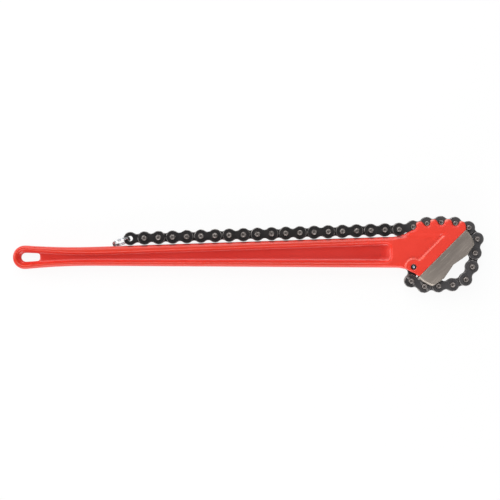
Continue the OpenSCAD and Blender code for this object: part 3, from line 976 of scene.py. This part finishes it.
anchorMesh = turnedMesh("anchorDrivePin", pinProfile(pinShape["anchorHalf"]), pinShape["anchorSteps"])
anchorPiece = addObject("anchorDrivePin", anchorMesh)
anchorPiece.data.transform(Matrix.Translation(anchor))
settle(anchorPiece, "handle", "anchor_steel", "anchor_pin")
for materialSlot in nodes["jaw_screws"].material_slots:
    materialSlot.material = finishes["screw_steel"]
print("anchor pin and jaw screws ready")

# stamped plate, as one outline with rounded edges and two eyes
plateShape = {
    "pitch": 19.05 * mm,
    "endRadius": 9.0 * mm,
    "endSteps": 26,
    "waistHalf": 5.7 * mm,
    "hollowSteps": 7,
    "eyeRadius": 3.36 * mm,
    "eyeSteps": 32,
    "thick": 3.0 * mm,
    "edge": 0.75 * mm,              # rounding of the stamped edge
    "shoulder": 0.3 * mm,           # flat strip inside the rounding, keeps the face flat
    "innerLevel": 0.06 * mm,        # underside of the inner plate above the middle plane
    "outerLevel": 3.24 * mm,
}


def plateOutline(inset):
    # two round ends joined by two hollows that touch them
    half = plateShape["pitch"] / 2
    endR = plateShape["endRadius"]
    waist = plateShape["waistHalf"]
    endSteps, hollowSteps = plateShape["endSteps"], plateShape["hollowSteps"]
    hollowR = (half ** 2 + waist ** 2 - endR ** 2) / (2 * (endR - waist))
    hollowY = waist + hollowR
    lean = math.atan2(hollowY, half)
    return (
        arcPoints((half, 0), endR - inset, lean - math.pi, math.pi - lean, endSteps)
        + arcPoints((0, hollowY), hollowR + inset, -lean, lean - math.pi, hollowSteps)
        + arcPoints((-half, 0), endR - inset, lean, 2 * math.pi - lean, endSteps)
        + arcPoints((0, -hollowY), hollowR + inset, math.pi - lean, lean, hollowSteps)
    )


def eyeOutline(centre, inset):
    return arcPoints((centre, 0), plateShape["eyeRadius"] + inset, 0, -2 * math.pi, plateShape["eyeSteps"])


def plateMesh():
    edge, shoulder, thick = plateShape["edge"], plateShape["shoulder"], plateShape["thick"]
    quarter = 1 - math.sqrt(0.5)
    rise = [(edge + shoulder, 0), (edge, 0), (edge * quarter, edge * quarter), (0, edge)]
    profile = rise + [(inset, thick - height) for inset, height in reversed(rise)]
    half = plateShape["pitch"] / 2
    walls = [[plateOutline(inset) for inset, _ in profile]]
    for centre in (-half, half):
        walls.append([eyeOutline(centre, inset) for inset, _ in profile])
    body = bmesh.new()
    lowEdges, highEdges = [], []
    for wall in walls:
        rings = []
        for outline, (_, height) in zip(wall, profile):
            rings.append([body.verts.new((x + half, y, height)) for x, y in outline])
        for low, high in zip(rings, rings[1:]):
            for i in range(len(low)):
                j = (i + 1) % len(low)
                body.faces.new((low[i], low[j], high[j], high[i]))
        for ring, store in ((rings[0], lowEdges), (rings[-1], highEdges)):
            for i in range(len(ring)):
                store.append(body.edges.get((ring[i], ring[(i + 1) % len(ring)])))
    for store in (lowEdges, highEdges):
        bmesh.ops.triangle_fill(body, edges=store, use_beauty=True)
    return finishedMesh("plateMould", body)


# node trees that set the plates and pins of one link
def newTree(name, inputs):
    tree = bpy.data.node_groups.new(name, "GeometryNodeTree")
    tree.interface.new_socket(name="Geometry", in_out="INPUT", socket_type="NodeSocketGeometry")
    for label, kind in inputs.items():
        tree.interface.new_socket(name=label, in_out="INPUT", socket_type="NodeSocket" + kind)
    tree.interface.new_socket(name="Geometry", in_out="OUTPUT", socket_type="NodeSocketGeometry")
    given = tree.nodes.new("NodeGroupInput").outputs
    return tree, given, tree.nodes.new("NodeGroupOutput").inputs


def alongAxis(tree, axis, value):
    # vector with one axis filled in
    node = addNode(tree, "ShaderNodeCombineXYZ")
    link(tree, value, node.inputs[axis])
    return node.outputs[0]


def closeTree(tree, given, out, geometry):
    # instances become a mesh with its finish
    real = addNode(tree, "GeometryNodeRealizeInstances")
    link(tree, geometry, real.inputs["Geometry"])
    finish = addNode(tree, "GeometryNodeSetMaterial")
    link(tree, real.outputs[0], finish.inputs["Geometry"])
    link(tree, given["Finish"], finish.inputs["Material"])
    link(tree, finish.outputs[0], out["Geometry"])


def setPair(tree, given, out, mould, spots, turn):
    # one mould on each of two spots, each turned its own way, then the link is put in its place
    shape = addNode(tree, "GeometryNodeObjectInfo")
    link(tree, mould, shape.inputs["Object"])
    spots.inputs["Count"].default_value = 2
    put = addNode(tree, "GeometryNodeInstanceOnPoints")
    link(tree, spots.outputs[0], put.inputs["Points"])
    link(tree, shape.outputs["Geometry"], put.inputs["Instance"])
    link(tree, turn, put.inputs["Rotation"])
    place = addNode(tree, "GeometryNodeTransform")
    link(tree, put.outputs[0], place.inputs["Geometry"])
    link(tree, given["First pin"], place.inputs["Translation"])
    link(tree, alongAxis(tree, "Z", given["Heading"]), place.inputs["Rotation"])
    closeTree(tree, given, out, place.outputs[0])


def makePlateTree():
    # two plates back to back: the second one is turned over about the link's length
    tree, given, out = newTree("linkPlates", {
        "Plate": "Object", "Level": "Float", "First pin": "Vector", "Heading": "Float", "Finish": "Material",
    })
    level = alongAxis(tree, "Z", given["Level"])
    drop = addNode(tree, "ShaderNodeVectorMath", operation="SCALE")
    link(tree, level, drop.inputs[0])
    drop.inputs["Scale"].default_value = -2         # as far below the middle plane as the first is above
    spots = addNode(tree, "GeometryNodeMeshLine")
    link(tree, level, spots.inputs["Start Location"])
    link(tree, drop.outputs[0], spots.inputs["Offset"])
    index = addNode(tree, "GeometryNodeInputIndex")
    over = math2(tree, "MULTIPLY", index.outputs[0], math.pi)
    setPair(tree, given, out, given["Plate"], spots, alongAxis(tree, "X", over))
    return tree


def makePinTree():
    # one pin in each eye, every pin turned by its own chance angle
    tree, given, out = newTree("linkPins", {
        "Pin": "Object", "Pitch": "Float", "Seed": "Int",
        "First pin": "Vector", "Heading": "Float", "Finish": "Material",
    })
    spots = addNode(tree, "GeometryNodeMeshLine")
    link(tree, alongAxis(tree, "X", given["Pitch"]), spots.inputs["Offset"])
    chance = addNode(tree, "FunctionNodeRandomValue", data_type="FLOAT")
    chance.inputs[3].default_value = 2 * math.pi    # the largest angle
    link(tree, given["Seed"], chance.inputs["Seed"])
    setPair(tree, given, out, given["Pin"], spots, alongAxis(tree, "Z", chance.outputs[1]))
    return tree


def grow(name, tree, values):
    piece = addObject(name, bpy.data.meshes.new(name))
    modifier = piece.modifiers.new("grow", "NODES")
    modifier.node_group = tree
    sockets = {
        item.name: item.identifier
        for item in tree.interface.items_tree
        if item.item_type == "SOCKET" and item.in_out == "INPUT"
    }
    for key, value in values.items():
        modifier[sockets[key]] = value
    evaluated(piece)
    piece.data.name = name
    return piece


plateMould = addObject("plateMould", plateMesh())
pinMould = addObject("pinMould", turnedMesh("pinMould", pinProfile(pinShape["half"]), pinShape["steps"]))
plateTree = makePlateTree()
pinTree = makePinTree()
for k in range(1, linkCount + 1):
    start, end = pinPlaces[k - 1], pinPlaces[k]
    heading = math.atan2(end.y - start.y, end.x - start.x)
    inner = k % 2 == 1
    plates = grow("linkPlates%02d" % k, plateTree, {
        "Plate": plateMould,
        "Level": plateShape["innerLevel"] if inner else plateShape["outerLevel"],
        "First pin": tuple(start),
        "Heading": heading,
        "Finish": finishes["chain_plate"],
    })
    body = "link_%02d" % k
    settle(plates, body, "chain_plate", ("inner_link_%02d" if inner else "outer_plates_%02d") % k)
    if inner:
        continue
    pins = grow("linkPins%02d" % k, pinTree, {
        "Pin": pinMould,
        "Pitch": plateShape["pitch"],
        "Seed": k,
        "First pin": tuple(start),
        "Heading": heading,
        "Finish": finishes["chain_pin"],
    })
    settle(pins, body, "chain_pin", "link_pins_%02d" % k)
bpy.data.objects.remove(plateMould)
bpy.data.objects.remove(pinMould)
print("chain links", linkCount)

# split ring: two turns of wire that cross over once
ringShape = {
    "radius": 11.7 * mm,
    "wire": 0.95 * mm,
    "coil": 0.893 * mm,             # each turn from the middle of the pair
    "turns": 1.985,
    "cross": (0.44, 0.56),          # share of the wire's length where it changes sides
    "turnSteps": 96,
    "wireSteps": 18,
    "heading": math.radians(199),
    "lean": math.radians(103),
    "shift": 1.0 * mm,
}


def makeRingTree():
    tree, given, out = newTree("splitRing", {
        "Radius": "Float", "Wire": "Float", "Coil": "Float", "Finish": "Material",
    })
    spiral = addNode(tree, "GeometryNodeCurveSpiral")
    spiral.inputs["Resolution"].default_value = ringShape["turnSteps"]
    spiral.inputs["Rotations"].default_value = ringShape["turns"]
    spiral.inputs["Height"].default_value = 0
    link(tree, given["Radius"], spiral.inputs["Start Radius"])
    link(tree, given["Radius"], spiral.inputs["End Radius"])
    along = addNode(tree, "GeometryNodeSplineParameter").outputs["Factor"]
    cross = mapRange(tree, along, *ringShape["cross"], -1.0, 1.0)
    rise = math2(tree, "MULTIPLY", cross, given["Coil"])
    move = addNode(tree, "GeometryNodeSetPosition")
    link(tree, spiral.outputs[0], move.inputs["Geometry"])
    link(tree, alongAxis(tree, "Z", rise), move.inputs["Offset"])
    wire = addNode(tree, "GeometryNodeCurvePrimitiveCircle")
    wire.inputs["Resolution"].default_value = ringShape["wireSteps"]
    link(tree, given["Wire"], wire.inputs["Radius"])
    sweep = addNode(tree, "GeometryNodeCurveToMesh")
    sweep.inputs["Fill Caps"].default_value = True
    link(tree, move.outputs[0], sweep.inputs["Curve"])
    link(tree, wire.outputs[0], sweep.inputs["Profile Curve"])
    closeTree(tree, given, out, sweep.outputs[0])
    return tree


ringPiece = grow("endSplitRing", makeRingTree(), {
    "Radius": ringShape["radius"],
    "Wire": ringShape["wire"],
    "Coil": ringShape["coil"],
    "Finish": finishes["ring_chrome"],
})
reach = ringShape["radius"] + ringShape["shift"]
ringAim = Vector((math.cos(ringShape["heading"]), math.sin(ringShape["heading"]), 0))
ringPiece.data.transform(
    Matrix.Translation(pinPlaces[linkCount] + reach * ringAim)
    @ Matrix.Rotation(ringShape["heading"], 4, "Z")
    @ Matrix.Rotation(ringShape["lean"], 4, "X")
)
ringPiece.data.shade_smooth()
# how far the surface of the wire turns away from the upright
setAttribute(ringPiece.data, "sideways", [1 - abs(point.normal.z) for point in ringPiece.data.vertices])
settle(ringPiece, "end_ring", "ring_chrome", "end_ring")
print("split ring ready")
